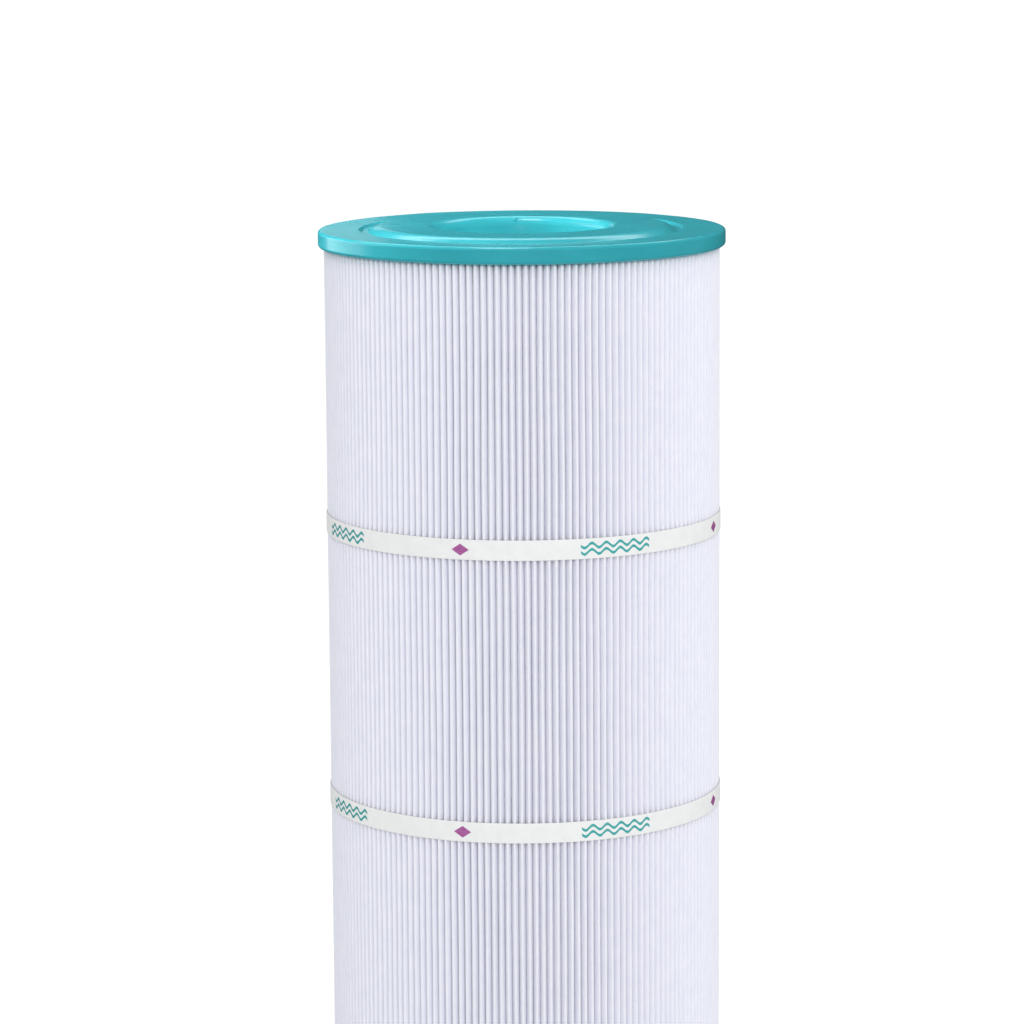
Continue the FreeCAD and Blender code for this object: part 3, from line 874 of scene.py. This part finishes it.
def place_lamp(lamp, place, watts, mirrored, lit):
    """Puts a lamp in the scene. With lit, a list of pieces, it's flagged off everything else."""
    lamp.energy = watts
    holder = add_object(lamp.name, lamp)
    holder.location = place
    holder.visible_glossy = mirrored
    if lit:
        receivers = bpy.data.collections.new(lamp.name + "_lit")
        for piece in lit:
            receivers.objects.link(bpy.data.objects[piece])
        holder.light_linking.receiver_collection = receivers
    return holder


def add_softbox(name, place, aim, size, watts, mirrored=True, lit=None):
    """A rectangular lamp of size (width, height), turned from its place towards aim."""
    lamp = bpy.data.lights.new(name, "AREA")
    lamp.shape = "RECTANGLE"
    lamp.size, lamp.size_y = size
    softbox = place_lamp(lamp, place, watts, mirrored, lit)
    softbox.rotation_euler = (Vector(aim) - Vector(place)).to_track_quat("-Z", "Y").to_euler()


def add_bore_lamp(watts, lit):
    """The light that the white core and fabric let through into the bore, seen on the hub's wall."""
    lamp = bpy.data.lights.new("bore_lamp", "POINT")
    lamp.shadow_soft_size = 3 * MM
    place_lamp(lamp, (0, 0, cad_high.z - HUB_DEPTH / 2), watts, False, lit)


def make_lights():
    """A broad front light, a back light for the cap's highlights, and small lights that trim the rest."""
    top = (0, 0, cad_high.z)
    body = (0, 0, BODY_AIM * (cad_high.z - cad_low.z))
    add_softbox("front_softbox", (0.3, -2.3, 1.2), body, (1.8, 1.8), watts=23, mirrored=False)
    add_softbox("back_softbox", (0.03, 0.5, 1.05), top, (0.8, 0.25), watts=1.8)
    add_softbox("overhead_softbox", (-0.1, -0.15, 1.25), top, (0.25, 0.25), watts=2.6, lit=CAP_PIECES)
    add_softbox("left_gloss_softbox", (-0.18, 1.2, 0.69), top, (0.16, 0.08), watts=0.04, lit=CAP_PIECES)
    add_bore_lamp(watts=0.025, lit=CAP_PIECES)
    add_softbox("cap_softbox", (-0.33, 0.08, 0.68), top, (0.2, 0.2), watts=1.9, mirrored=False,
                lit=CAP_PIECES)
    add_softbox("cap_card", (-1.0, 0.5, 0.6), top, (0.9, 0.6), watts=3, lit=CAP_PIECES)
    add_softbox("left_rim_softbox", (-1.5, 0.5, 0.5), body, (1.0, 1.0), watts=4.5, lit=WHITE_PIECES)
    add_softbox("right_rim_softbox", (1.5, 0.5, 0.5), body, (1.0, 1.0), watts=5.4, mirrored=False,
                lit=WHITE_PIECES + CAP_PIECES)


# ---------------------------------------------------------------- camera

def make_camera():
    """A long lens in front, a little above the top cap, tilted down and turned a touch."""
    distance, rise = 1.809, 0.1665
    pitch, yaw, roll = math.radians(9.17), math.radians(-0.16), math.radians(0.39)
    camera = bpy.data.cameras.new("camera")
    camera.lens = 146.08
    camera.sensor_width = 36
    camera.clip_end = 100
    holder = add_object("camera", camera)
    forward = Vector((math.sin(yaw) * math.cos(pitch), math.cos(yaw) * math.cos(pitch), -math.sin(pitch)))
    level = Vector((math.cos(yaw), -math.sin(yaw), 0))
    upward = level.cross(forward)
    right = level * math.cos(roll) - upward * math.sin(roll)
    up = level * math.sin(roll) + upward * math.cos(roll)
    holder.matrix_world = Matrix((
        (right.x, up.x, -forward.x, 0),
        (right.y, up.y, -forward.y, -distance),
        (right.z, up.z, -forward.z, cad_high.z - SEAT_HEIGHT + rise),
        (0, 0, 0, 1),
    ))
    bpy.context.scene.camera = holder


# ---------------------------------------------------------------- assembly

def paint(node, material):
    """Gives a CAD node one material in place of its own."""
    for slot in frame["nodes"][node].material_slots:
        slot.material = material


def make_cartridge():
    urethane, ribbon = urethane_material(), ribbon_material()
    core, adhesive = core_material(), adhesive_material()
    teal = ink_material("teal_ink", (0.040, 0.43, 0.42, 1))
    purple = ink_material("purple_ink", (0.42, 0.10, 0.35, 1))
    make_cap("upper_end_cap", True, urethane)
    make_cap("lower_end_cap", False, urethane)
    make_fabric(fabric_material())
    for name, span in zip(BAND_NAMES, BAND_SPANS):
        make_band(name, span, ribbon)
        make_print(name, span, teal, purple)
    for node in frame["nodes"]:
        if node.startswith("core_section"):
            paint(node, core)
        if node.endswith("adhesive"):
            paint(node, adhesive)


make_cartridge()
make_floor()
make_world()
make_lights()
make_camera()
bpy.context.scene.view_settings.view_transform = "Standard"
